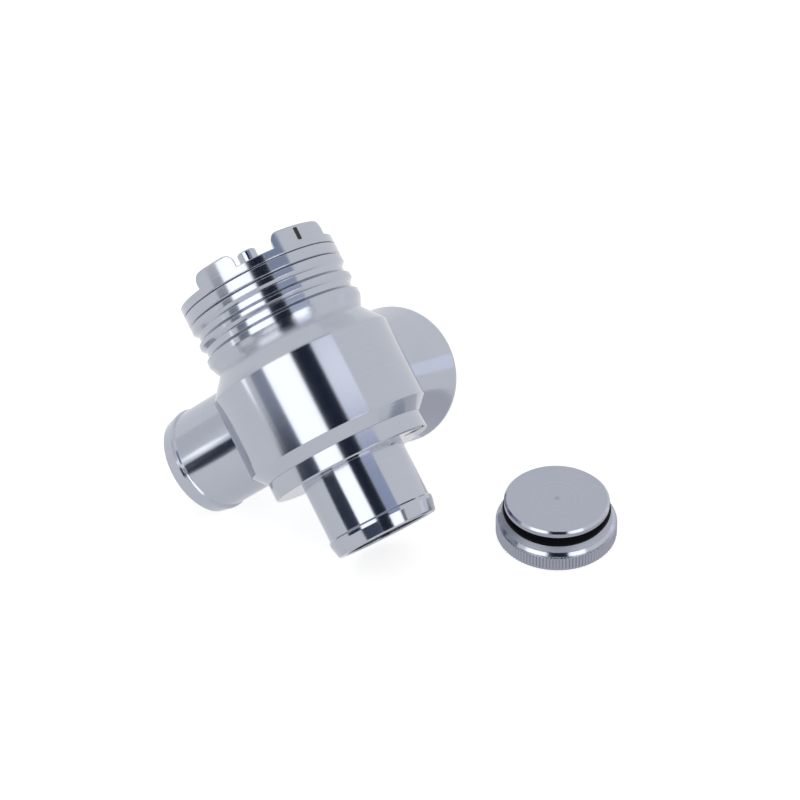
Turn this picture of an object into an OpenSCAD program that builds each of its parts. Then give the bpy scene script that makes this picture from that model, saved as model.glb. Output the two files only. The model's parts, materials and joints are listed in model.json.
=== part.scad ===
// A piston blow-off valve turned from aluminium bar, with the blanking cap of its vent lying beside it.
// The valve is drawn in its own axes: the port axes cross at the origin, the inlet points along -Z,
// the outlet along -X and the vent along +Y, and the crown that holds the spring is at +Z.
// as_it_lies() then turns it into the attitude in which it rests on a table, on its three port rims.

/* [Hose stubs] */
// Outer diameter of the two hose stubs
stub_d = 25; // [22:0.5:25.5]
// Wall of the hose stubs
stub_wall = 2; // [1.4:0.1:3]
// How far the bead at a stub's end stands above the stub
bead_rise = 0.4; // [0.2:0.1:0.7]
// Length of the straight part of the bead
bead_land = 0.8; // [0.5:0.1:1.6]
// Length of the bead's lead-in taper
bead_taper = 3; // [2:0.1:3.6]
// How much the taper takes off the bead's radius
taper_drop = 0.6; // [0.3:0.05:0.9]
// From the crossing of the port axes to the inlet's end
inlet_reach = 35.7; // [34:0.1:44]
// From the crossing of the port axes to the outlet's end
outlet_reach = 37.3; // [34:0.1:44]

/* [Vent trumpet] */
// From the crossing of the port axes to the trumpet's rim
vent_reach = 39; // [37:0.5:44]
// Outer diameter of the trumpet's rim
vent_rim_d = 33.6; // [31.4:0.2:36]
// Width of the straight band round the rim
rim_band = 1; // [0.5:0.1:1.6]
// Wall of the trumpet at its rim
rim_wall = 0.8; // [0.6:0.1:1.2]
// Bore of the throat that takes the blanking cap
throat_d = 24.8; // [24.4:0.2:25.8]
// Length of the throat
throat_len = 6; // [5:0.5:7]
// Length of the flare outside the throat
flare_len = 4.5; // [4:0.25:5]

/* [Body] */
// Diameter of the body
body_d = 44; // [42.5:0.5:50]
// Height of the body's upper edge above the port axes
body_up = 8.6; // [7:0.1:10]
// Depth of the body's lower edge below the port axes
body_down = 10.8; // [10.5:0.1:12]
// Depth of the joint between body and inlet flange
base_depth = 13.7; // [13.6:0.1:16]
// Diameter of that joint and of the inlet flange
base_d = 38.4; // [38:0.2:41]
// Diameter of the waist between shoulder and fins
neck_d = 36; // [34.5:0.1:37]
// Height of the waist above the port axes
neck_up = 13.7; // [13:0.1:15]
// Bore that the piston runs in
bore_d = 29; // [27.5:0.5:29.5]
// How much smaller the body's port holes are than the tubes' bores, on the radius
port_step = 0.5; // [0.3:0.1:1]
// Wall left between that bore and the sockets of the stub tubes
socket_wall = 1; // [0.8:0.1:1.5]

/* [Fins] */
// Diameter of the fins, the lock ring and the crown
head_d = 38.6; // [38:0.2:42]
// Height of the top of the fins above the port axes
head_up = 26.4; // [26:0.1:32]
// Number of grooves between the fins
groove_count = 2; // [1:1:2]
// Spacing of the grooves
groove_pitch = 4.05; // [3.6:0.05:4.2]
// Depth of the grooves
groove_depth = 0.9; // [0.5:0.1:1.2]
// Height of a groove's upper slope
upper_slope = 0.95; // [0.6:0.05:1]
// Height of a groove's root
groove_root = 1.4; // [1:0.1:1.4]
// Height of a groove's lower slope
lower_slope = 0.8; // [0.5:0.05:0.8]
// Height of the crests of the upper and lower fin
fin_crest = 1.4; // [1:0.1:1.8]

/* [Inlet flange] */
// Thickness of the inlet flange
flange_t = 4.2; // [3.8:0.1:6]
// How far its spigot enters the body
spigot_len = 3.2; // [2.8:0.1:3.5]
// Distance of the locking screw from the valve axis
screw_offset = 16.7; // [16.5:0.05:17]
// Direction of the locking screw round the axis
screw_turn = 10; // [-30:1:40]
// Thread diameter of the locking screw
screw_d = 2.5; // [2:0.1:2.5]
// Thread length below the screw's head
screw_len = 8; // [6:0.5:8.5]
// Diameter of the screw's head
screw_head_d = 4.4; // [3.8:0.1:4.5]
// Height of the screw's head
screw_head_h = 2.5; // [2:0.1:2.6]
// Size of its hexagon socket across the flats
screw_socket = 2; // [1.5:0.1:2]

/* [Piston and spring] */
// Height of the piston
piston_h = 23.7; // [23.5:0.1:24]
// Wall of the piston's skirt
piston_wall = 2.1; // [1.9:0.1:3]
// Land above the piston's seal
piston_land = 1; // [0.8:0.1:1.2]
// Thickness of the piston's floor
piston_floor = 3.2; // [2.4:0.1:5]
// Wire diameter of the spring
wire_d = 1.8; // [1.2:0.1:2]
// Mean diameter of the spring's turns
coil_d = 18; // [15:0.5:20]
// Number of turns
turns = 6.5; // [5.5:0.5:8]
// Thickness of the spring's upper seat
seat_t = 1.4; // [1:0.1:2]
// Depth of the ring on that seat that centres the spring
pilot_h = 1.6; // [1:0.1:2.4]
// Wall of that ring
pilot_wall = 1.4; // [1:0.1:2]
// Thickness of a preload shim
shim_t = 0.5; // [0.3:0.1:0.8]
// Number of preload shims
shim_count = 2; // [1:1:3]

/* [Lock ring and crown] */
// Thickness of the lock ring
ring_t = 2.8; // [2.4:0.1:4]
// Bevel on the lock ring's lower edge
ring_bevel = 0.4; // [0.2:0.05:0.6]
// Gap at the seams above and below the lock ring
seam = 0.12; // [0.1:0.01:0.2]
// Height of the crown's rim at the bottom of its slots
rim_h = 2; // [1.8:0.1:3]
// Height of the lugs above the slots
lug_h = 3.5; // [2.8:0.1:4.5]
// Radial thickness of the lugs
lug_wall = 3.4; // [2.4:0.1:4]
// Rounding of the lugs' upper corners
lug_round = 2.3; // [0.3:0.1:2.6]
// Width of the narrow slot across the crown
narrow_slot = 9.2; // [8:0.1:12]
// Width of the wide slot across the crown
wide_slot = 22.4; // [20:0.1:23]
// Direction of the narrow slot round the axis
narrow_turn = -56; // [-60:1:-50]
// Direction of the wide slot round the axis
wide_turn = 42; // [36:1:46]
// Direction of the index mark round the axis
mark_turn = -21; // [-26:1:-16]
// How far below the lug's top the index mark begins
mark_drop = 0.7; // [0.4:0.1:0.8]
// Length of the index mark
mark_len = 2.9; // [1.5:0.1:3.4]
// Width of the index mark
mark_w = 0.9; // [0.5:0.1:1.4]
// How far the crown's plate lies below its lower edge
plate_drop = 1.6; // [1:0.1:2]
// Thickness of the crown's plate
plate_t = 2.6; // [2.2:0.1:3.4]
// Length of the crown's threaded skirt below its plate
skirt_len = 5.2; // [5:0.1:5.4]
// Wall of that skirt
skirt_wall = 2; // [1.8:0.1:2.6]

/* [Vacuum nipple] */
// Diameter of the nipple's tube
nipple_d = 4.6; // [3.5:0.1:5]
// Bore of the nipple
nipple_bore_d = 2.2; // [1.6:0.1:2.6]
// Height of the tube's end above the lugs
nipple_over = 2.3; // [0.5:0.1:8]
// Thread diameter of the nipple
nipple_thread_d = 5; // [4.5:0.1:6]
// Thickness of the washer under the nipple
washer_t = 0.5; // [0.4:0.1:0.8]
// Size of the nipple's hexagon across its flats
nipple_hex = 7; // [7:0.5:9]
// Height of the hexagon
nipple_hex_h = 2.2; // [1.6:0.1:3]

/* [Blanking cap] */
// Diameter of the cap's knurled flange
cap_d = 28.2; // [28:0.1:31]
// Height of the knurled flange
knurl_h = 4.3; // [3:0.1:6]
// Number of ridges of the knurl
knurl_count = 110; // [60:1:120]
// Depth of the knurl
knurl_depth = 0.3; // [0.15:0.05:0.35]
// Height of the bevel between the flange and its ledge
cap_bevel = 0.7; // [0.4:0.1:1.4]
// Width of that bevel
cap_bevel_w = 0.7; // [0.3:0.1:0.8]
// Height of the lip under the seal
lip_h = 1; // [0.6:0.1:1.4]
// Width of the seal's groove
cap_groove_w = 2.8; // [2:0.1:3]
// Thickness of the plug's head
plug_t = 1.5; // [1.2:0.1:3]
// Bevel on the plug's head
plug_bevel = 0.5; // [0.3:0.1:1]
// Clearance of the plug's head in the throat
plug_clear = 0.2; // [0.15:0.05:0.7]
// How far the cap's seal stands out beyond the throat until it is pressed in
cap_squeeze = 0.15; // [0.1:0.05:0.35]
// How far to the right of the valve's crossing axes the cap lies
cap_right = 54.5; // [52:0.1:80]
// How far in front of the crossing axes the cap lies
cap_front = 12; // [0:0.2:30]

/* [Fits] */
// Small bevel on turned edges
edge = 0.3; // [0.15:0.05:0.4]
// Clearance of sliding and screwed fits, on the radius
fit_clear = 0.08; // [0.03:0.01:0.1]
// Section diameter of the seal rings
seal_d = 1.5; // [1.3:0.1:1.6]
// Section diameter of the seal rings at the feet of the side tubes
port_seal_d = 1; // [0.7:0.1:1.1]
// Clearance of a seal ring in its groove, on each side
seal_clear = 0.04; // [0.02:0.01:0.08]
// Gap between the closed piston and its seat
seat_gap = 0.1; // [0.05:0.05:0.2]
// Heading of the inlet over the table, seen from above
heading = -55; // [-90:1:0]

/* [Hidden] */

$fn = 96;
seal_fn = 24;
hole_fn = 32;
nipple_fn = 48;
slop = 1;

stub_r = stub_d / 2;
stub_bore_r = stub_r - stub_wall;
bead_r = stub_r + bead_rise;
end_r = bead_r - taper_drop;
vent_rim_r = vent_rim_d / 2;
throat_r = throat_d / 2;
body_r = body_d / 2;
base_r = base_d / 2;
neck_r = neck_d / 2;
bore_r = bore_d / 2;
head_r = head_d / 2;
groove_r = head_r - groove_depth;
groove_h = upper_slope + groove_root + lower_slope;
groove_w = seal_d + 2 * seal_clear;

// Distance of the sockets' floors from the valve axis
socket_floor = bore_r + socket_wall;

// Where the trumpet's cone leaves the body, and where it ends at the rim
cone_low = sqrt(body_r * body_r - stub_r * stub_r);
cone_high = vent_reach - rim_band;

// Heights on the valve axis, from the inlet upwards
flange_low = -base_depth - flange_t;
seat_z = -base_depth + spigot_len;
piston_low = seat_z + seat_gap;
piston_top = piston_low + piston_h;
ring_low = head_up + seam;
ring_top = ring_low + ring_t;
crown_low = ring_top + seam;
slot_z = crown_low + rim_h;
lug_top = slot_z + lug_h;
plate_low = crown_low - plate_drop;
plate_top = plate_low + plate_t;
skirt_low = plate_low - skirt_len;

// Heights of the cap above the table, with its knurled flange down and its plug up
ledge_z = knurl_h + cap_bevel;
groove_low = ledge_z + lip_h;
groove_top = groove_low + cap_groove_w;
cap_top = groove_top + plug_t;
plug_r = throat_r - plug_clear;
cap_seal_d = cap_groove_w - 2 * seal_clear;

piston_r = bore_r - fit_clear;
skirt_r = bore_r - fit_clear;
skirt_bore_r = skirt_r - skirt_wall;
// The spring and its seat hang loosely
loose = 3 * fit_clear;
shim_step = shim_t + seal_clear;
seat_top = plate_low - seal_clear - shim_count * shim_step;
seat_r = skirt_bore_r - loose;
pilot_r = (coil_d - wire_d) / 2 - loose;
spring_low = piston_low + piston_floor;
spring_top = seat_top - seat_t;

// The attitude at rest. Each port's rim touches the table when its axis dips by the angle whose cosine to
// straight down is c, and the axes are square to each other, so the squares of the three cosines add to one.
inlet_rim = [inlet_reach - edge, end_r];
outlet_rim = [outlet_reach - edge, end_r];
vent_rim = [vent_reach - edge, vent_rim_r];
function dip(rim, h) = cos(atan2(rim.y, rim.x) + acos(min(1, h / norm(rim))));
function dips(h) = [dip(inlet_rim, h), dip(outlet_rim, h), dip(vent_rim, h)];
function rest_height(low, high, steps) = let(mid = (low + high) / 2, c = dips(mid))
    steps == 0 ? mid : c * c > 1 ? rest_height(low, mid, steps - 1) : rest_height(mid, high, steps - 1);
halvings = 50;
rest_h = rest_height(0, min(norm(inlet_rim), norm(outlet_rim), norm(vent_rim)), halvings);
dip_c = dips(rest_h);
up = [dip_c[1], -dip_c[2], dip_c[0]];
inlet_flat = ([0, 0, -1] + dip_c[0] * up) / norm([0, 0, -1] + dip_c[0] * up);
inlet_side = cross(up, inlet_flat);
right = cos(heading) * inlet_flat - sin(heading) * inlet_side;
ahead = sin(heading) * inlet_flat + cos(heading) * inlet_side;

// The origin is under the middle of the box round valve and cap, found from the round rims that reach
// furthest: each is [axis, distance along it, radius] in the valve's axes
rims = [
    [[0, 0, -1], inlet_reach, end_r], [[-1, 0, 0], outlet_reach, end_r],
    [[-1, 0, 0], outlet_reach - bead_taper, bead_r], [[0, 0, -1], inlet_reach - bead_taper, bead_r],
    [[0, 1, 0], vent_reach - edge, vent_rim_r], [[0, 0, 1], slot_z, head_r]
];
cap_spot = [cap_right, -cap_front];
function reaches(along, cap_at) = concat(
    [for (rim = rims, side = [-1, 1])
        rim[0] * along * rim[1] + side * rim[2] * sqrt(1 - pow(rim[0] * along, 2))],
    [cap_at - cap_d / 2, cap_at + cap_d / 2]
);
function middle(spans) = (min(spans) + max(spans)) / 2;
centre = [middle(reaches(right, cap_spot.x)), middle(reaches(ahead, cap_spot.y))];

module as_it_lies() {
    translate([-centre.x, -centre.y, rest_h])
        multmatrix([concat(right, 0), concat(ahead, 0), concat(up, 0), [0, 0, 0, 1]])
            children();
}

module cap_place() {
    translate([cap_spot.x - centre.x, cap_spot.y - centre.y, 0]) children();
}

// Turns a shape drawn along +Z so that it points along the outlet or the vent
module along_outlet() { rotate([0, -90, 0]) children(); }
module along_vent() { rotate([-90, 0, 0]) children(); }

// A seal ring of the given outer radius and section
module seal_ring(outer_r, section) {
    rotate_extrude() translate([outer_r - section / 2, 0]) circle(d = section, $fn = seal_fn);
}

// The groove for a seal ring in a tube's foot, at the middle of the tube's wall
module foot_groove() {
    width = port_seal_d + 2 * seal_clear;
    translate([(stub_bore_r + stub_r - width) / 2, socket_floor - slop]) square([width, slop + width]);
}

module foot_seal() {
    color("#1b1c1f") translate([0, 0, socket_floor + port_seal_d / 2 + seal_clear])
        seal_ring((stub_bore_r + stub_r + port_seal_d) / 2, port_seal_d);
}

// The outline of a hose stub from the given start to its end, drawn along +Z
module stub_outline(start, reach) {
    bead_start = reach - bead_taper - bead_land;
    polygon([
        [stub_bore_r, start], [stub_r, start], [stub_r, bead_start - bead_rise], [bead_r, bead_start],
        [bead_r, reach - bead_taper], [end_r, reach - edge], [end_r - edge, reach],
        [stub_bore_r + edge, reach], [stub_bore_r, reach - edge]
    ]);
}

module body_outline() {
    first_groove = head_up - fin_crest;
    grooves = [for (i = [0:groove_count - 1]) let(top = first_groove - i * groove_pitch) each [
        [head_r, top], [groove_r, top - upper_slope],
        [groove_r, top - upper_slope - groove_root], [head_r, top - groove_h]
    ]];
    fins_low = first_groove - (groove_count - 1) * groove_pitch - groove_h - fin_crest;
    polygon(concat(
        [[bore_r, head_up], [head_r - edge / 2, head_up], [head_r, head_up - edge / 2]], grooves,
        [[head_r, fins_low], [neck_r, neck_up], [body_r, body_up], [body_r, -body_down]],
        [[base_r, -base_depth], [bore_r, -base_depth]]
    ));
}

module screw_place() { rotate(screw_turn) translate([screw_offset, 0, flange_low]) children(); }

// The hole for the locking screw's thread, from outside the flange to beyond the screw's end
module screw_hole() {
    screw_place() translate([0, 0, -slop])
        cylinder(d = screw_d + 2 * fit_clear, h = slop + screw_head_h + screw_len + edge, $fn = hole_fn);
}

// The hole for a side tube: a narrower port through the wall, and the socket for the tube's foot
module tube_socket() {
    cylinder(r = stub_bore_r - port_step, h = body_r);
    translate([0, 0, socket_floor]) cylinder(r = stub_r + fit_clear, h = body_r);
}

module valve_body() {
    color("#c9cbd0") as_it_lies() difference() {
        rotate_extrude() body_outline();
        along_outlet() tube_socket();
        along_vent() tube_socket();
        along_vent() translate([0, 0, cone_low])
            cylinder(r1 = stub_r + fit_clear, r2 = vent_rim_r + fit_clear, h = cone_high - cone_low);
        screw_hole();
    }
}

module inlet_flange() {
    seal_z = -base_depth + spigot_len / 2;
    seat_bevel = 2 * edge;
    color("#c9cbd0") as_it_lies() difference() {
        union() {
            rotate_extrude() polygon([
                [stub_bore_r, flange_low], [base_r - edge, flange_low], [base_r, flange_low + edge],
                [base_r, -base_depth], [bore_r - fit_clear, -base_depth], [bore_r - fit_clear, seat_z],
                [stub_bore_r + seat_bevel, seat_z], [stub_bore_r, seat_z - seat_bevel]
            ]);
            rotate([180, 0, 0]) rotate_extrude() stub_outline(-flange_low - edge, inlet_reach);
        }
        rotate_extrude() translate([bore_r - fit_clear - seal_d, seal_z - groove_w / 2])
            square([seal_d + slop, groove_w]);
        screw_hole();
        screw_place() translate([0, 0, -slop])
            cylinder(d = screw_head_d + 2 * loose, h = screw_head_h + slop, $fn = hole_fn);
    }
}

module flange_screw() {
    color("#8d9096") as_it_lies() screw_place() difference() {
        union() {
            cylinder(d = screw_head_d, h = screw_head_h, $fn = hole_fn);
            cylinder(d = screw_d, h = screw_head_h + screw_len, $fn = hole_fn);
        }
        translate([0, 0, -slop]) cylinder(d = screw_socket / cos(30), h = slop + screw_head_h / 2, $fn = 6);
    }
}

module inlet_seal() {
    color("#1b1c1f") as_it_lies() translate([0, 0, -base_depth + spigot_len / 2])
        seal_ring(bore_r - seal_clear, seal_d);
}

module outlet_tube() {
    color("#c9cbd0") as_it_lies() along_outlet() rotate_extrude() difference() {
        stub_outline(socket_floor, outlet_reach);
        foot_groove();
    }
}

module outlet_seal() { as_it_lies() along_outlet() foot_seal(); }

module vent_trumpet() {
    flare_start = vent_reach - flare_len;
    throat_start = flare_start - throat_len;
    step = throat_r - stub_bore_r;
    color("#c9cbd0") as_it_lies() along_vent() rotate_extrude() difference() {
        polygon([
            [stub_bore_r, socket_floor], [stub_r, socket_floor], [stub_r, cone_low],
            [vent_rim_r, cone_high], [vent_rim_r, vent_reach - edge], [vent_rim_r - edge, vent_reach],
            [vent_rim_r - rim_wall, vent_reach], [throat_r, flare_start], [throat_r, throat_start],
            [stub_bore_r, throat_start - step]
        ]);
        foot_groove();
    }
}

module vent_seal() { as_it_lies() along_vent() foot_seal(); }

module piston() {
    groove_z = piston_top - piston_land - groove_w;
    color("#7d8087") as_it_lies() difference() {
        rotate_extrude() polygon([
            [0, piston_low], [piston_r - edge, piston_low], [piston_r, piston_low + edge],
            [piston_r, piston_top], [piston_r - piston_wall, piston_top],
            [piston_r - piston_wall, spring_low], [0, spring_low]
        ]);
        rotate_extrude() translate([piston_r - seal_d, groove_z]) square([seal_d + slop, groove_w]);
    }
}

module piston_seal() {
    color("#1b1c1f") as_it_lies() translate([0, 0, piston_top - piston_land - groove_w / 2])
        seal_ring(bore_r - seal_clear, seal_d);
}

// A coil spring with one closed turn at each end, swept as a round wire along the turns
module valve_spring() {
    steps = 20;
    sides = 8;
    rings = round(turns * steps);
    low = spring_low + wire_d / 2 + seal_clear;
    high = spring_top - wire_d / 2 - seal_clear;
    function rise(t) = t < 1 ? t * wire_d : t > turns - 1 ? high - low - (turns - t) * wire_d
        : wire_d + (t - 1) * (high - low - 2 * wire_d) / (turns - 2);
    points = [for (i = [0:rings], k = [0:sides - 1]) let(a = 360 * i / steps, b = 360 * k / sides,
        r = coil_d / 2 + wire_d / 2 * cos(b))
        [r * cos(a), r * sin(a), low + rise(i / steps) + wire_d / 2 * sin(b)]];
    walls = [for (i = [0:rings - 1], k = [0:sides - 1]) let(n = (k + 1) % sides)
        [i * sides + k, i * sides + n, (i + 1) * sides + n, (i + 1) * sides + k]];
    ends = [[for (k = [sides - 1:-1:0]) k], [for (k = [0:sides - 1]) rings * sides + k]];
    color("#9a9da3") as_it_lies() polyhedron(points, concat(walls, ends));
}

module spring_seat() {
    color("#7d8087") as_it_lies() rotate_extrude() polygon([
        [pilot_r - pilot_wall, seat_top], [seat_r, seat_top], [seat_r, spring_top], [pilot_r, spring_top],
        [pilot_r, spring_top - pilot_h], [pilot_r - pilot_wall, spring_top - pilot_h]
    ]);
}

module preload_shims() {
    color("#a9a294") as_it_lies() for (i = [0:shim_count - 1])
        translate([0, 0, seat_top + seal_clear + i * shim_step]) difference() {
            cylinder(r = seat_r, h = shim_t);
            translate([0, 0, -slop]) cylinder(r = pilot_r - pilot_wall, h = shim_t + 2 * slop);
        }
}

module lock_ring() {
    bevel = edge / 2;
    color("#c9cbd0") as_it_lies() rotate_extrude() polygon([
        [skirt_r + fit_clear, ring_low], [head_r - ring_bevel, ring_low], [head_r, ring_low + ring_bevel],
        [head_r, ring_top - bevel], [head_r - bevel, ring_top], [skirt_r + fit_clear, ring_top]
    ]);
}

// The outline of a slot milled straight across the crown, with its upper corners rounded off
module slot_outline(width) {
    translate([-width / 2, 0]) square([width, lug_h + slop]);
    for (side = [-1, 1]) scale([side, 1]) difference() {
        translate([width / 2 - slop, lug_h - lug_round]) square([lug_round + slop, lug_round + slop]);
        translate([width / 2 + lug_round, lug_h - lug_round]) circle(lug_round, $fn = hole_fn);
    }
}

module slot(width, turn) {
    rotate(turn) translate([head_r + slop, 0, slot_z]) rotate([90, 0, -90])
        linear_extrude(2 * (head_r + slop)) slot_outline(width);
}

module crown() {
    bevel = edge / 2;
    hole_r = nipple_thread_d / 2 + fit_clear;
    seal_z = (head_up + skirt_low) / 2;
    color("#c9cbd0") as_it_lies() difference() {
        rotate_extrude() polygon([
            [hole_r, plate_low], [skirt_bore_r, plate_low], [skirt_bore_r, skirt_low],
            [skirt_r, skirt_low], [skirt_r, crown_low],
            [head_r - bevel, crown_low], [head_r, crown_low + bevel],
            [head_r, lug_top - edge], [head_r - edge, lug_top], [head_r - lug_wall, lug_top],
            [head_r - lug_wall, plate_top], [hole_r, plate_top]
        ]);
        slot(narrow_slot, narrow_turn);
        slot(wide_slot, wide_turn);
        rotate_extrude() translate([skirt_r - seal_d, seal_z - groove_w / 2])
            square([seal_d + slop, groove_w]);
        rotate(mark_turn) translate([head_r - edge, -mark_w / 2, lug_top - mark_drop - mark_len])
            cube([edge + slop, mark_w, mark_len]);
    }
}

module crown_seal() {
    color("#1b1c1f") as_it_lies() translate([0, 0, (head_up + skirt_low) / 2])
        seal_ring(bore_r - seal_clear, seal_d);
}

module nipple_washer() {
    color("#b08d57") as_it_lies() translate([0, 0, plate_top]) difference() {
        cylinder(d = nipple_hex, h = washer_t, $fn = nipple_fn);
        translate([0, 0, -slop])
            cylinder(d = nipple_thread_d + 2 * fit_clear, h = washer_t + 2 * slop, $fn = nipple_fn);
    }
}

module vacuum_nipple() {
    hex_low = plate_top + washer_t;
    tube_top = lug_top + nipple_over;
    color("#c9cbd0") as_it_lies() difference() {
        union() {
            cylinder_from(nipple_thread_d, plate_low, hex_low + edge);
            translate([0, 0, hex_low]) cylinder(d = nipple_hex / cos(30), h = nipple_hex_h, $fn = 6);
            cylinder_from(nipple_d, hex_low, tube_top - edge);
            translate([0, 0, tube_top - edge])
                cylinder(d1 = nipple_d, d2 = nipple_d - 2 * edge, h = edge, $fn = nipple_fn);
        }
        cylinder_from(nipple_bore_d, plate_low - slop, tube_top + slop);
    }
}

module cylinder_from(d, low, high) {
    translate([0, 0, low]) cylinder(d = d, h = high - low, $fn = nipple_fn);
}

module knurl_outline() {
    polygon([for (i = [0:2 * knurl_count - 1])
        let(r = cap_d / 2 - (i % 2) * knurl_depth, a = 180 * i / knurl_count) [r * cos(a), r * sin(a)]]);
}

// The knurl stands round a turned core, with a plain land and a bevel at each end
module blanking_cap() {
    core_r = cap_d / 2 - knurl_depth - edge / 2;
    ledge_r = core_r - cap_bevel_w;
    floor_r = throat_r + cap_squeeze - cap_seal_d - seal_clear;
    color("#c9cbd0") cap_place() {
        translate([0, 0, 2 * edge]) linear_extrude(knurl_h - 3 * edge) knurl_outline();
        rotate_extrude() polygon([
            [0, 0], [core_r - edge, 0], [core_r, edge], [core_r, knurl_h],
            [ledge_r, ledge_z], [plug_r, ledge_z], [plug_r, groove_low - edge], [plug_r - edge, groove_low],
            [floor_r, groove_low], [floor_r, groove_top], [plug_r, groove_top],
            [plug_r, cap_top - plug_bevel], [plug_r - plug_bevel, cap_top], [0, cap_top]
        ]);
    }
}

module cap_seal() {
    color("#1b1c1f") cap_place() translate([0, 0, groove_low + cap_groove_w / 2]) rotate_extrude()
        translate([throat_r + cap_squeeze - cap_seal_d / 2, 0]) circle(cap_seal_d / 2, $fn = seal_fn);
}

valve_body();
inlet_flange();
flange_screw();
inlet_seal();
outlet_tube();
outlet_seal();
vent_trumpet();
vent_seal();
piston();
piston_seal();
valve_spring();
spring_seat();
preload_shims();
lock_ring();
crown();
crown_seal();
vacuum_nipple();
nipple_washer();
blanking_cap();
cap_seal();
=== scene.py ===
# %% [markdown]
# # A blow-off valve in turned aluminium
# The valve lets boost pressure out of an engine's intake. Its solids come from the CAD model, in
# metres, and stay where they are. This lesson gives them their metal, adds the small things that a
# solid can't show, and lights them as in a product photograph: a white tent with a few bright
# panels and dark cards round the valve.

# %% Load the solids
import json
import math

import bmesh
import bpy
from mathutils import Matrix, Vector


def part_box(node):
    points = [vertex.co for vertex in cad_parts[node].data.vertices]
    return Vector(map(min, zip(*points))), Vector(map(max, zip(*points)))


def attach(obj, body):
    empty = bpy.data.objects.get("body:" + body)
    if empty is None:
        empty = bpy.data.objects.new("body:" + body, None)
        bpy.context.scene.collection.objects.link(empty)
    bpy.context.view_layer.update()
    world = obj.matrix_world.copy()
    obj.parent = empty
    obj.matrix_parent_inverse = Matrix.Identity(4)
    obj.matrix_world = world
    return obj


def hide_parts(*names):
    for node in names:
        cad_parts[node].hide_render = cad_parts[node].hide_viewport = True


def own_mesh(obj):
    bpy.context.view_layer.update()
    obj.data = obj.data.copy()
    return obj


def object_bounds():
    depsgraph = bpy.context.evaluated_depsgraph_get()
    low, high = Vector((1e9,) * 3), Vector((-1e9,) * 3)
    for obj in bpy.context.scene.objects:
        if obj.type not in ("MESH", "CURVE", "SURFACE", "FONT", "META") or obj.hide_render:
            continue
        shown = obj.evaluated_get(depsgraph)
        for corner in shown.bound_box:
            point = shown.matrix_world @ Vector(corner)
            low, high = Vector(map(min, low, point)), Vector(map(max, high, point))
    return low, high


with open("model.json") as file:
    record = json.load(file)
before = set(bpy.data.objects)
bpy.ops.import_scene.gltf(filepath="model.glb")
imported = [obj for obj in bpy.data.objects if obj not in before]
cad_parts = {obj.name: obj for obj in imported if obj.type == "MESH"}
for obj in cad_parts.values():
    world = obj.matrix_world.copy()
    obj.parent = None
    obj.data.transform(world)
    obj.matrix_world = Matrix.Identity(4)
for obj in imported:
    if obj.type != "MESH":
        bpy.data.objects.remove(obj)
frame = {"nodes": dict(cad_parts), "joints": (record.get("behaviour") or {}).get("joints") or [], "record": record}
cad_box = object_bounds()
cad_size = cad_box[1] - cad_box[0]
print("solids:", len(frame["nodes"]), "box in mm:", [round(1000 * s, 1) for s in cad_size])

# %% [markdown]
# ## The axes of the valve
# The valve lies askew on its three port rims, so nothing on it is parallel to Blender's axes. The
# record of the part says where its axes run: the piston's joint gives the crown's, and the mounts
# give the ports'. From these come the point where they cross and a matrix that turns the valve's
# own directions into the scene's.

# %% Read the axes from the record
MM = 0.001
mounts = {mount["name"]: mount for mount in frame["record"]["mounts"]}
joints = {joint["name"]: joint for joint in frame["joints"]}
crown_way = Vector(joints["piston_lift"]["axis"])
outlet_way = Vector(mounts["outlet_stub"]["axis"])
vent_way = Vector(mounts["vent_throat"]["axis"])
on_crown_axis = Vector(joints["crown_turn"]["pos_m"])
on_outlet_axis = Vector(mounts["outlet_stub"]["pos_m"])
crossing = on_crown_axis + (on_outlet_axis - on_crown_axis).dot(crown_way) * crown_way
valve_turn = Matrix((-outlet_way, vent_way, crown_way)).transposed()
cap_low, cap_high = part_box("blanking_cap")
cap_centre = (cap_low + cap_high) / 2
print("the axes cross", round(crossing.z / MM, 1), "mm above the table")


def in_scene(x, y, z):
    """A point in the valve's own axes, in millimetres, as a point of the scene."""
    return crossing + valve_turn @ Vector((x, y, z)) * MM


# %% [markdown]
# ## The camera
# A picture's perspective depends only on where the eye is, so that is fitted first. About 150
# points on the edges of the valve were measured in the photograph, and the eye was moved until the
# solids' edges fell on them. It was half a metre away: from there the crown, which is further off,
# looks a little smaller than the inlet.

# %% Place the camera
FOCAL_PIXELS, PICTURE_PIXELS = 2100, 800
SENSOR_WIDTH = 36
elevation, azimuth, roll = math.radians(37.807), math.radians(1.315), math.radians(-1.907)
eye = Vector((11.72, -384.78, 325.65)) * MM
back = Vector((
    math.sin(azimuth) * math.cos(elevation),
    -math.cos(azimuth) * math.cos(elevation),
    math.sin(elevation),
))
level = Vector((math.cos(azimuth), math.sin(azimuth), 0))
right = math.cos(roll) * level + math.sin(roll) * back.cross(level)
up = back.cross(right)
lens = bpy.data.cameras.new("photo_lens")
lens.sensor_width = SENSOR_WIDTH
lens.lens = FOCAL_PIXELS / PICTURE_PIXELS * lens.sensor_width
lens.clip_start, lens.clip_end = 0.01, 100
camera = bpy.data.objects.new("photo_camera", lens)
camera.matrix_world = Matrix.Translation(eye) @ Matrix((right, up, back)).transposed().to_4x4()
bpy.context.scene.collection.objects.link(camera)
bpy.context.scene.camera = camera
bpy.context.scene.view_settings.view_transform = "Standard"
print("lens", round(lens.lens, 1), "mm")

# %% [markdown]
# ## Helpers for every material
# A shader is a graph of nodes. One function turns the hex colours that people read into the linear
# light values that Blender computes with, one adds a node, sets its values and links its inputs,
# and one starts an empty material. With these a material reads from top to bottom as a recipe.

# %% Colour and node helpers


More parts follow.
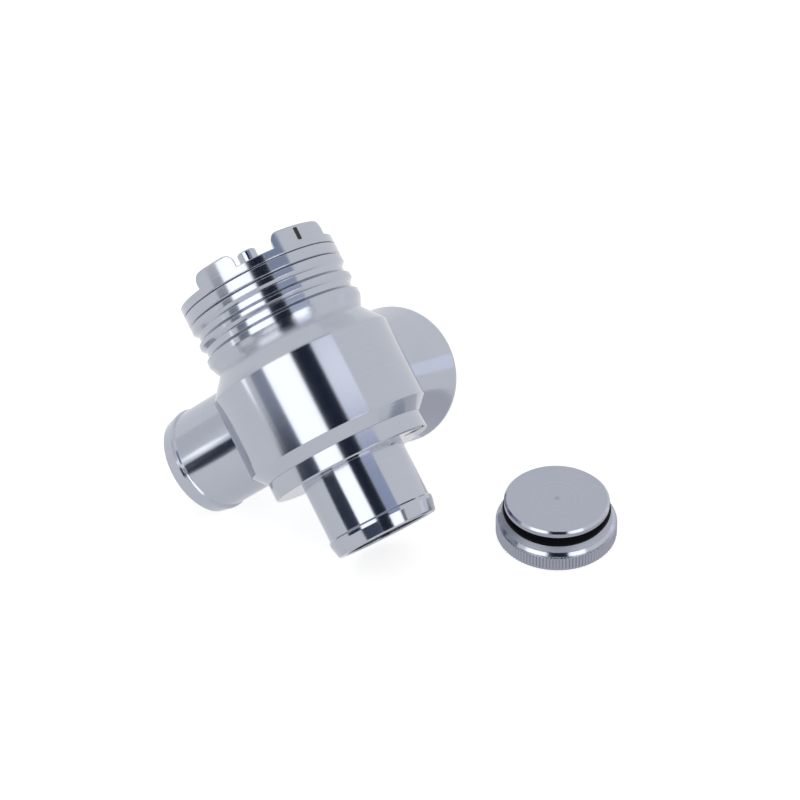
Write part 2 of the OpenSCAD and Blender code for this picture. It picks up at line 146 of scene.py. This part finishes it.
def linear(hex_colour):
    """An sRGB hex colour as linear red, green, blue and alpha."""
    parts = [int(hex_colour[i:i + 2], 16) / 255 for i in (1, 3, 5)]
    return [c / 12.92 if c <= 0.04045 else ((c + 0.055) / 1.055) ** 2.4 for c in parts] + [1]


def add(tree, kind, settings):
    """Adds a node. A setting is an option, an input's value, or an output that is linked to it."""
    node = tree.nodes.new("ShaderNode" + kind)
    for name, value in settings.items():
        if isinstance(value, bpy.types.Node):
            value = value.outputs[0]
        if isinstance(value, bpy.types.NodeSocket):
            tree.links.new(value, node.inputs[name])
        elif isinstance(name, int) or name in node.inputs:
            node.inputs[name].default_value = value
        else:
            setattr(node, name, value)
    return node


def new_material(name):
    """A new material with an empty node tree, and that tree."""
    material = bpy.data.materials.new(name)
    material.use_nodes = True
    material.node_tree.nodes.clear()
    return material, material.node_tree


print("a mid grey in linear light is", round(linear("#808080")[0], 3))

# %% [markdown]
# ## The white paper
# The photograph's ground is plain white with faint shadows where the parts touch it. A white plane
# would turn grey in soft light, so this paper has light of its own, which only the camera and
# mirrored rays see. Its matt part carries the shadows, and the lighter it is, the deeper they get.
# In the picture the paper is bleached to white, but the metal mirrors it greyer, so the two have
# strengths of their own.

# %% Lay the paper
FLOOR_SIZE = 12
FLOOR_SEEN, FLOOR_MIRRORED = 0.78, 0.62
bpy.ops.mesh.primitive_plane_add(size=FLOOR_SIZE)
floor = bpy.context.object
floor.name = "paper_floor"
paper, tree = new_material("matt white background paper")
path = add(tree, "LightPath", {})
mirrored = add(tree, "Math", {
    "operation": "MAXIMUM",
    0: path.outputs["Is Glossy Ray"], 1: path.outputs["Is Transmission Ray"]})
mirrored = add(tree, "Math", {"operation": "MULTIPLY", 0: mirrored, 1: FLOOR_MIRRORED})
glow = add(tree, "Math", {
    "operation": "MULTIPLY_ADD", 0: path.outputs["Is Camera Ray"], 1: FLOOR_SEEN, 2: mirrored})
matt = add(tree, "BsdfDiffuse", {"Color": linear("#cdcdcd")})
glowing = add(tree, "Emission", {"Strength": glow})
add(tree, "OutputMaterial", {"Surface": add(tree, "AddShader", {0: matt, 1: glowing})})
floor.data.materials.append(paper)
print("the paper is", FLOOR_SIZE, "m wide")

# %% [markdown]
# ## The white tent
# A tent of white cloth round the table gives soft light from everywhere. The world is that tent.
# The camera and the metal see it white, but the light that it throws is weaker, so that colours
# come out about as they are written.

# %% Put up the tent
TENT_SEEN, TENT_LIGHT = 1.0, 0.6
tent = bpy.data.worlds.new("white_tent")
bpy.context.scene.world = tent
tent.use_nodes = True
tree = tent.node_tree
tree.nodes.clear()
path = add(tree, "LightPath", {})
seen = add(tree, "Math", {
    "operation": "MAXIMUM", 0: path.outputs["Is Camera Ray"], 1: path.outputs["Is Glossy Ray"]})
seen = add(tree, "Math", {"operation": "MAXIMUM", 0: seen, 1: path.outputs["Is Transmission Ray"]})
strength = add(tree, "MapRange", {"Value": seen, "To Min": TENT_LIGHT, "To Max": TENT_SEEN})
walls = add(tree, "Background", {"Color": linear("#ffffff"), "Strength": strength.outputs[0]})
add(tree, "OutputWorld", {"Surface": walls})
print("the tent is up")

# %% [markdown]
# ## Panels and cards
# Bright metal looks like metal because of what it mirrors. On a cylinder each band of light and
# dark is one thing in the room, stretched along it. Every band of the photograph was followed back
# by the law of reflection to a drum round the valve's axis, 40 cm away. There the bands of body,
# flange, stub, crown and cap all fall on the same few patches: a bright window on each side of the
# camera, which is the dark patch between, and dark and blue things beside them. Each patch is a
# sheet that glows as brightly as the metal shows it, and only mirrored rays see it. A window
# between two cards at the back, which the photograph doesn't show, does the same for the valve's
# far side.

# %% Sheets on the drum
DRUM = 400


def on_drum(turn_low, turn_high, low, high):
    """Corners of a patch on the drum between two angles, in degrees, and two heights, in mm."""
    middle = Matrix.Rotation(math.radians(turn_low + turn_high) / 2, 3, "Z")
    half = DRUM * math.tan(math.radians(turn_high - turn_low) / 2)
    spots = ((-half, low), (half, low), (half, high), (-half, high))
    return [in_scene(*(middle @ Vector((DRUM, side, height)))) for side, height in spots]


def sheet(name, colour, radiance, corners):
    """A glowing sheet that only mirrored rays see."""
    material, tree = new_material(name)
    glow = add(tree, "Emission", {"Color": linear(colour), "Strength": radiance})
    add(tree, "OutputMaterial", {"Surface": glow})
    mesh = bpy.data.meshes.new(name)
    mesh.from_pydata(corners, [], [(0, 1, 2, 3)])
    mesh.materials.append(material)
    card = bpy.data.objects.new(name, mesh)
    card.visible_camera = card.visible_diffuse = card.visible_shadow = False
    bpy.context.scene.collection.objects.link(card)


# Each row is a name, a colour, a strength, two angles and two heights.
PATCHES = (
    ("left_wall", "#ebecef", 1, 205, 231, 135, 700),
    ("left_card", "#2c3548", 1, 231, 257.3, -60, 40),
    ("left_card_end", "#b9bfcc", 1, 237, 255.5, 40, 73.5),
    ("left_card_top", "#565f72", 1, 239, 255.5, 74, 101),
    ("left_window", "#ffffff", 2.2, 257.8, 291.5, -60, 28),
    ("left_window_top", "#ffffff", 2.2, 256, 292, 28, 200),
    ("left_window_low", "#ffffff", 1.9, 257, 292, -420, -255),
    ("lower_card", "#3f4c60", 1, 254, 293, -250, -62),
    ("camera_side", "#222a3c", 1, 293.5, 320, -420, 28),
    ("camera_side_top", "#222a3c", 1, 293.5, 318, 28, 260),
    ("blue_wall", "#aab7d4", 1, 320.5, 346, -62, 27),
    ("right_window", "#fbfbff", 1.6, 319, 346, 27, 74),
    ("blue_wall_top", "#98a6bd", 1, 319, 347, 74, 260),
    ("right_window_low", "#ffffff", 2.2, 320, 345, -420, -62),
    ("window_frame", "#4c5565", 1, 346, 353, -260, -150),
    ("far_window", "#f0f4ff", 1.3, 37, 47, -140, -30),
    ("back_card", "#3a4353", 1, 98, 112, -120, 220),
    ("back_window", "#ffffff", 1.8, 113, 140, -120, 220),
    ("back_card_end", "#4a5365", 1, 141, 158, -120, 220),
    ("ceiling", "#f0f1f3", 1, 15, 75, 420, 1000),
)
for name, colour, radiance, *patch in PATCHES:
    sheet(name, colour, radiance, on_drum(*patch))
print(len(PATCHES), "sheets on the drum")

# %% [markdown]
# ## Two boards and a shaded floor
# The outlet's bright line and the dark band under it don't fit the drum: they come from something
# closer that stands on the table. Two small boards to the left of the outlet give them, a white one
# above a dark one. The floor between valve and cap mirrors darker than the rest, because both shade
# it, so a grey sheet lies there.

# %% Stand up the boards
dark_foot = Vector((-154, -96, 0)) * MM
white_foot = Vector((-128, -79.6, 0)) * MM
board_side = Vector((0.6, -0.8, 0))
DARK_BOARD = ((0, 0), (36, 0), (30, 33), (-6, 33))
WHITE_BOARD = ((-33, 37.7), (-14, 37.7), (-21, 52), (-37, 52))
SHADE = ((8, -42), (62, -42), (62, 18), (8, 18))
SHADE_HEIGHT = 0.3


def on_board(foot, spots):
    """An upright board's corners, from distances to the side and heights, in mm from its foot."""
    return [foot + side * MM * board_side + Vector((0, 0, height * MM)) for side, height in spots]


sheet("dark_board", "#262f42", 1, on_board(dark_foot, DARK_BOARD))
sheet("white_board", "#ffffff", 2.1, on_board(white_foot, WHITE_BOARD))
sheet("floor_shade", "#d6d6da", 1, [Vector((x, y, SHADE_HEIGHT)) * MM for x, y in SHADE])
print("two boards and a shaded floor are in place")

# %% [markdown]
# ## Turned aluminium
# Every large part was turned from aluminium bar. The tool leaves a fine spiral of grooves round the
# axis, too fine to see, but it spreads reflections along the axis and keeps them sharp across it.
# That is anisotropy: the tangent runs round the axis, and the highlight is stretched at right
# angles to it. Each port has its own axis, so each gets its own copy of the material, made by one
# function. Where the tool stopped on the axis it left a dark pip. A Bevel node rounds the normals
# at the edges without changing the solid, and where the body's waist meets its shoulder a much
# larger radius stands for the hollow that the tool's nose left there.

# %% A function for turned aluminium
GROOVE_WIDTH, GROOVE_DEPTH = 0.7 * MM, 0.05 * MM
CLOUD_SIZE = 9 * MM
EDGE_BREAK = 0.18 * MM
PIP, PIP_SHADE = 0.9 * MM, 0.72
WAIST, HOLLOW = 12.4 * MM, 4.2 * MM
HOLLOW_FULL = 0.6 * HOLLOW


def blend(tree, share, dark, light):
    """A colour between two hex colours. They go to the Mix node's inputs 6 and 7."""
    return add(tree, "Mix", {
        "data_type": "RGBA", 0: share, 6: linear(dark), 7: linear(light)}).outputs[2]


def turned_aluminium(name, turn, centre, edge=EDGE_BREAK, hollow_at=None):
    """Aluminium that was turned about the third column of the matrix, through the given point."""
    material, tree = new_material(name)
    spot = add(tree, "TexCoord", {}).outputs["Object"]
    local = add(tree, "Mapping", {
        "vector_type": "TEXTURE", "Vector": spot, "Location": centre, "Rotation": turn.to_euler()})
    x, y, z = add(tree, "SeparateXYZ", {0: local}).outputs
    across = add(tree, "CombineXYZ", {0: x, 1: y})
    radius = add(tree, "VectorMath", {"operation": "LENGTH", 0: across}).outputs["Value"]
    feed = add(tree, "Math", {"operation": "ADD", 0: z, 1: radius})
    # The real grooves are about 0.1 mm apart. They are drawn further apart, so that the picture
    # can show them.
    grooves = add(tree, "TexNoise", {
        "noise_dimensions": "1D", "W": feed, "Scale": 1 / GROOVE_WIDTH, "Detail": 2}).outputs[0]
    clouds = add(tree, "TexNoise", {
        "Vector": spot, "Scale": 1 / CLOUD_SIZE, "Detail": 3}).outputs[0]
    half_clouds = add(tree, "Math", {"operation": "MULTIPLY", 0: clouds, 1: 0.5})
    mixed = add(tree, "Math", {"operation": "MULTIPLY_ADD", 0: grooves, 1: 0.5, 2: half_clouds})
    colour = blend(tree, mixed, "#aeb2bd", "#b6bac5")
    on_pip = add(tree, "MapRange", {
        "Value": radius, "From Max": PIP, "To Min": PIP_SHADE, "To Max": 1})
    colour = add(tree, "VectorMath", {"operation": "SCALE", 0: colour, "Scale": on_pip.outputs[0]})
    gloss = add(tree, "MapRange", {"Value": mixed, "To Min": 0.12, "To Max": 0.16})
    if hollow_at:
        away = add(tree, "Math", {"operation": "SUBTRACT", 0: z, 1: hollow_at})
        away = add(tree, "Math", {"operation": "ABSOLUTE", 0: away})
        edge = add(tree, "MapRange", {
            "Value": away, "From Min": HOLLOW_FULL, "From Max": HOLLOW,
            "To Min": HOLLOW, "To Max": edge}).outputs[0]
    back_x = add(tree, "Math", {"operation": "MULTIPLY", 0: y, 1: -1})
    quarter_turn = add(tree, "CombineXYZ", {0: back_x, 1: x})
    round_axis = add(tree, "Mapping", {
        "vector_type": "VECTOR", "Vector": quarter_turn, "Rotation": turn.to_euler()})
    tangent = add(tree, "VectorTransform", {
        "vector_type": "VECTOR", "convert_from": "OBJECT", "convert_to": "WORLD", 0: round_axis})
    edges = add(tree, "Bevel", {"samples": 6, "Radius": edge})
    bump = add(tree, "Bump", {
        "Height": grooves, "Strength": 0.04, "Distance": GROOVE_DEPTH, "Normal": edges})
    metal = add(tree, "BsdfPrincipled", {
        "Base Color": colour, "Metallic": 1.0, "Roughness": gloss.outputs[0], "Anisotropic": 0.3,
        "Anisotropic Rotation": 0.25, "Tangent": tangent, "Normal": bump})
    add(tree, "OutputMaterial", {"Surface": metal})
    return material


def finish_as(material, *nodes):
    """Gives CAD nodes their material."""
    for name in nodes:
        frame["nodes"][name].data.materials.clear()
        frame["nodes"][name].data.materials.append(material)


body_metal = turned_aluminium("turned aluminium, body", valve_turn, crossing, hollow_at=WAIST)
finish_as(body_metal, "valve_body")
print("the body is finished")

# %% [markdown]
# ## The other turned parts
# The flange, the lock ring, the nipple and the crown were turned about the body's axis. The outlet,
# the vent and the cap have axes of their own. The crown was milled as well, and its edges are
# broken more than the others, so that a hand can turn it.

# %% Finish the other turned parts
CROWN_EDGE = 0.4 * MM


def along(way):
    """A matrix whose third column is the given direction."""
    side = way.orthogonal().normalized()
    return Matrix((side, way.cross(side), way)).transposed()


valve_metal = turned_aluminium("turned aluminium, valve axis", valve_turn, crossing)
crown_metal = turned_aluminium(
    "turned and milled aluminium, crown", valve_turn, crossing, edge=CROWN_EDGE)
outlet_metal = turned_aluminium("turned aluminium, outlet axis", along(outlet_way), crossing)
vent_metal = turned_aluminium("turned aluminium, vent axis", along(vent_way), crossing)
cap_metal = turned_aluminium("turned aluminium, cap axis", Matrix.Identity(3), cap_centre)
finish_as(valve_metal, "inlet_flange", "lock_ring", "vacuum_nipple")
finish_as(crown_metal, "crown")
finish_as(outlet_metal, "outlet_tube")
finish_as(vent_metal, "vent_trumpet")
finish_as(cap_metal, "blanking_cap")
print("the other turned parts are finished")

# %% [markdown]
# ## Hard anodised aluminium
# The piston and the spring's seat slide on other metal, so they are hard anodised: an oxide layer a
# few hundredths of a millimetre thick, dark grey and duller than bare metal.

# %% The sliding parts
OXIDE_GRAIN = 0.5 * MM
anodised, tree = new_material("hard anodised aluminium, dark grey")
spot = add(tree, "TexCoord", {}).outputs["Object"]
grain = add(tree, "TexNoise", {"Vector": spot, "Scale": 1 / OXIDE_GRAIN, "Detail": 3}).outputs[0]
colour = blend(tree, grain, "#5b5e64", "#6d7077")
gloss = add(tree, "MapRange", {"Value": grain, "To Min": 0.38, "To Max": 0.5})
add(tree, "OutputMaterial", {"Surface": add(tree, "BsdfPrincipled", {
    "Base Color": colour, "Metallic": 1.0, "Roughness": gloss.outputs[0]})})
finish_as(anodised, "piston", "spring_seat")
print("sliding parts are finished")

# %% [markdown]
# ## Nitrile rubber
# The seal rings are moulded from black nitrile rubber. To the eye they are the blackest thing here:
# the skin is dull from the fine grain of the mould, so it mirrors very little of the white tent.

# %% The seal rings
MOULD_GRAIN, GRAIN_DEPTH = 0.4 * MM, 0.05 * MM
rubber, tree = new_material("moulded nitrile rubber, black")
spot = add(tree, "TexCoord", {}).outputs["Object"]
grain = add(tree, "TexNoise", {"Vector": spot, "Scale": 1 / MOULD_GRAIN, "Detail": 4}).outputs[0]
colour = blend(tree, grain, "#04060a", "#090b11")
gloss = add(tree, "MapRange", {"Value": grain, "To Min": 0.42, "To Max": 0.6})
bump = add(tree, "Bump", {"Height": grain, "Strength": 0.15, "Distance": GRAIN_DEPTH})
add(tree, "OutputMaterial", {"Surface": add(tree, "BsdfPrincipled", {
    "Base Color": colour, "Roughness": gloss.outputs[0], "IOR": 1.52, "Specular IOR Level": 0.04,
    "Normal": bump})})
finish_as(
    rubber, "inlet_seal", "outlet_seal", "vent_seal", "piston_seal", "crown_seal", "cap_seal")
print("seals are finished")

# %% [markdown]
# ## Small steel and copper parts
# The screw is zinc plated, the spring is drawn and oiled wire, the shims are rolled strip and the
# washer under the nipple is soft copper. All are metals with a fine grain, so one recipe with other
# colours and sizes does.

# %% The small metals


def small_metal(name, light, dark, grain_size, roughness):
    """A metal whose surface has a fine grain of the given size."""
    material, tree = new_material(name)
    spot = add(tree, "TexCoord", {}).outputs["Object"]
    grain = add(tree, "TexNoise", {
        "Vector": spot, "Scale": 1 / grain_size, "Detail": 3}).outputs[0]
    colour = blend(tree, grain, dark, light)
    gloss = add(tree, "MapRange", {
        "Value": grain, "To Min": roughness[0], "To Max": roughness[1]})
    bump = add(tree, "Bump", {"Height": grain, "Strength": 0.1, "Distance": GRAIN_DEPTH})
    add(tree, "OutputMaterial", {"Surface": add(tree, "BsdfPrincipled", {
        "Base Color": colour, "Metallic": 1.0, "Roughness": gloss.outputs[0], "Normal": bump})})
    return material


spring_wire = small_metal("drawn spring steel, oiled", "#9a9ca1", "#75777c", 0.5 * MM, (0.22, 0.34))
zinc = small_metal("zinc plated steel", "#a9abb0", "#8c8f95", 0.4 * MM, (0.2, 0.34))
shim_strip = small_metal("rolled shim steel", "#b1ab9d", "#9c9688", 0.6 * MM, (0.25, 0.38))
copper = small_metal("soft copper", "#bf8a63", "#a5714c", 0.5 * MM, (0.28, 0.42))
finish_as(zinc, "flange_screw")
finish_as(shim_strip, "preload_shims")
finish_as(copper, "nipple_washer")
finish_as(spring_wire, "valve_spring")
print("small metals are finished")

# %% [markdown]
# ## The spring
# The CAD spring is a coil of eight-sided wire, and a rigid solid can't shorten. A rounder wire
# swept along the same helix takes its place here. The first and last turns lie closed, so that the
# spring stands flat.

# %% Measure the spring
WIRE, COIL, TURNS = 1.8, 18, 6.5
SPRING_LOW, SPRING_HIGH, SPRING_PLAY = -7.2, 25.32, 0.04
low, high = SPRING_LOW + WIRE / 2 + SPRING_PLAY, SPRING_HIGH - WIRE / 2 - SPRING_PLAY


def wire_height(turn):
    """Height of the wire's middle after some turns: closed at both ends, evenly open between."""
    if turn < 1:
        return low + turn * WIRE
    if turn > TURNS - 1:
        return high - (TURNS - turn) * WIRE
    return low + WIRE + (turn - 1) * (high - low - 2 * WIRE) / (TURNS - 2)


print("the wire rises", round(wire_height(3) - wire_height(2), 2), "mm in each open turn")

# %% [markdown]
# ## Winding the wire
# The mesh is built point by point with bmesh, Blender's library for editing meshes in code. The
# wire's round section is carried along the helix as a ring of points, and neighbouring rings are
# joined by faces. The last steps are the same for every piece that is made in this way, so they are
# a function: the faces are turned outward, and the mesh becomes an object with a material.

# %% Wind the spring
STEPS, SIDES = 36, 14


def as_piece(mesh, name, material):
    """Makes an object of the edited mesh."""
    bmesh.ops.recalc_face_normals(mesh, faces=mesh.faces)
    data = bpy.data.meshes.new(name)
    mesh.to_mesh(data)
    mesh.free()
    data.materials.append(material)
    piece = bpy.data.objects.new(name, data)
    bpy.context.scene.collection.objects.link(piece)
    print(name, "has", len(data.polygons), "faces")
    return piece


mesh = bmesh.new()
rings = []
for step in range(round(TURNS * STEPS) + 1):
    angle = math.tau * step / STEPS
    ring = []
    for side in range(SIDES):
        lean = math.tau * side / SIDES
        radius = COIL / 2 + WIRE / 2 * math.cos(lean)
        height = wire_height(step / STEPS) + WIRE / 2 * math.sin(lean)
        x, y = radius * math.cos(angle), radius * math.sin(angle)
        ring.append(mesh.verts.new(in_scene(x, y, height)))
    rings.append(ring)
for one, two in zip(rings, rings[1:]):
    for side in range(SIDES):
        following = (side + 1) % SIDES
        mesh.faces.new((one[side], one[following], two[following], two[side])).smooth = True
mesh.faces.new(list(reversed(rings[0])))
mesh.faces.new(rings[-1])
spring = as_piece(mesh, "wound_spring", spring_wire)
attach(spring, "housing")
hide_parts("valve_spring")
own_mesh(spring)

# %% [markdown]
# ## The seat of the cap's seal
# The cap's seal sits on a dull shoulder, which the photograph shows as one light band. The solid
# has a narrow lip and a step there instead, so a ring fills the corner between them. It has the
# coarse finish of a quick facing cut, which scatters what it mirrors. A closed outline swept round
# the cap's axis makes it: each corner of the outline becomes a circle of points, and neighbouring
# circles are joined.

# %% Turn the seat
SEAT = ((12.2, 5), (12.93, 5.02), (11.92, 6), (12.2, 5.7))
SEAT_STEPS = 192
cap_foot = Vector((cap_centre.x, cap_centre.y, cap_low.z))
mesh = bmesh.new()
spokes = [Matrix.Rotation(math.tau * step / SEAT_STEPS, 3, "Z") for step in range(SEAT_STEPS)]
circles = []
for radius, height in SEAT:
    corner = Vector((radius, 0, height))
    circles.append([mesh.verts.new(cap_foot + spoke @ corner * MM) for spoke in spokes])
for one, two in zip(circles, circles[1:] + circles[:1]):
    for step in range(SEAT_STEPS):
        following = (step + 1) % SEAT_STEPS
        mesh.faces.new((one[step], one[following], two[following], two[step]))
faced = small_metal("coarsely faced aluminium", "#b6bac5", "#a6aab5", 0.4 * MM, (0.5, 0.62))
seat = as_piece(mesh, "seal_seat", faced)
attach(seat, "housing")

# %% [markdown]
# ## The index mark
# One lug of the crown has a milled mark for counting turns, and it is filled with black enamel.
# That was put in with a brush, which leaves streaks: the gloss is uneven, and the colour is a near
# black and not a pure one.

# %% Mix the enamel
STREAK = 0.6 * MM
enamel, tree = new_material("brushed black enamel")
spot = add(tree, "TexCoord", {}).outputs["Object"]
streaks = add(tree, "TexNoise", {"Vector": spot, "Scale": 1 / STREAK, "Detail": 2}).outputs[0]
gloss = add(tree, "MapRange", {"Value": streaks, "To Min": 0.4, "To Max": 0.6})
colour = blend(tree, streaks, "#121316", "#1e2023")
add(tree, "OutputMaterial", {"Surface": add(tree, "BsdfPrincipled", {
    "Base Color": colour, "Roughness": gloss.outputs[0]})})
print("the enamel is mixed")

# %% [markdown]
# ## Filling the mark
# Paint lies a little over a groove's edges and sinks in the middle as it dries, so it is a shallow
# dish and not a flat patch. A grid of points makes the dish. Its open edge is then drawn down to
# the groove's floor and closed there, so that the paint is a solid body.

# %% Fill the mark
MARK_TURN, MARK_LOW, MARK_HIGH = math.radians(-21), 31.36, 34.22
MARK_HALF, MARK_FLOOR, MARK_FACE = 0.53, 19.02, 19.34
PAINT_SINK, DISH_ACROSS, DISH_ALONG = 0.06, 4, 8
ROWS, COLUMNS = 12, 6
mark_turn = Matrix.Rotation(MARK_TURN, 3, "Z")
mesh = bmesh.new()
grid = []
for row in range(ROWS + 1):
    line = []
    for column in range(COLUMNS + 1):
        u, v = 2 * column / COLUMNS - 1, 2 * row / ROWS - 1
        sink = PAINT_SINK * (1 - u ** DISH_ACROSS) * (1 - v ** DISH_ALONG)
        x, y = MARK_FACE - sink, u * MARK_HALF
        z = (MARK_LOW + MARK_HIGH) / 2 + v * (MARK_HIGH - MARK_LOW) / 2
        line.append(mesh.verts.new(in_scene(*(mark_turn @ Vector((x, y, z))))))
    grid.append(line)
for one, two in zip(grid, grid[1:]):
    for column in range(COLUMNS):
        mesh.faces.new((one[column], one[column + 1], two[column + 1], two[column])).smooth = True
inward = valve_turn @ mark_turn @ Vector((MARK_FLOOR - MARK_FACE, 0, 0)) * MM
walls = bmesh.ops.extrude_edge_only(mesh, edges=[e for e in mesh.edges if e.is_boundary])
inner = [v for v in walls["geom"] if isinstance(v, bmesh.types.BMVert)]
bmesh.ops.translate(mesh, verts=inner, vec=inward)
bmesh.ops.holes_fill(mesh, edges=[e for e in mesh.edges if e.is_boundary])
paint = as_piece(mesh, "index_paint", enamel)
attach(paint, "crown")

# %% [markdown]
# ## The end
# The box of the solids was printed when they were loaded.

# %% Finish
print("the scene is built")
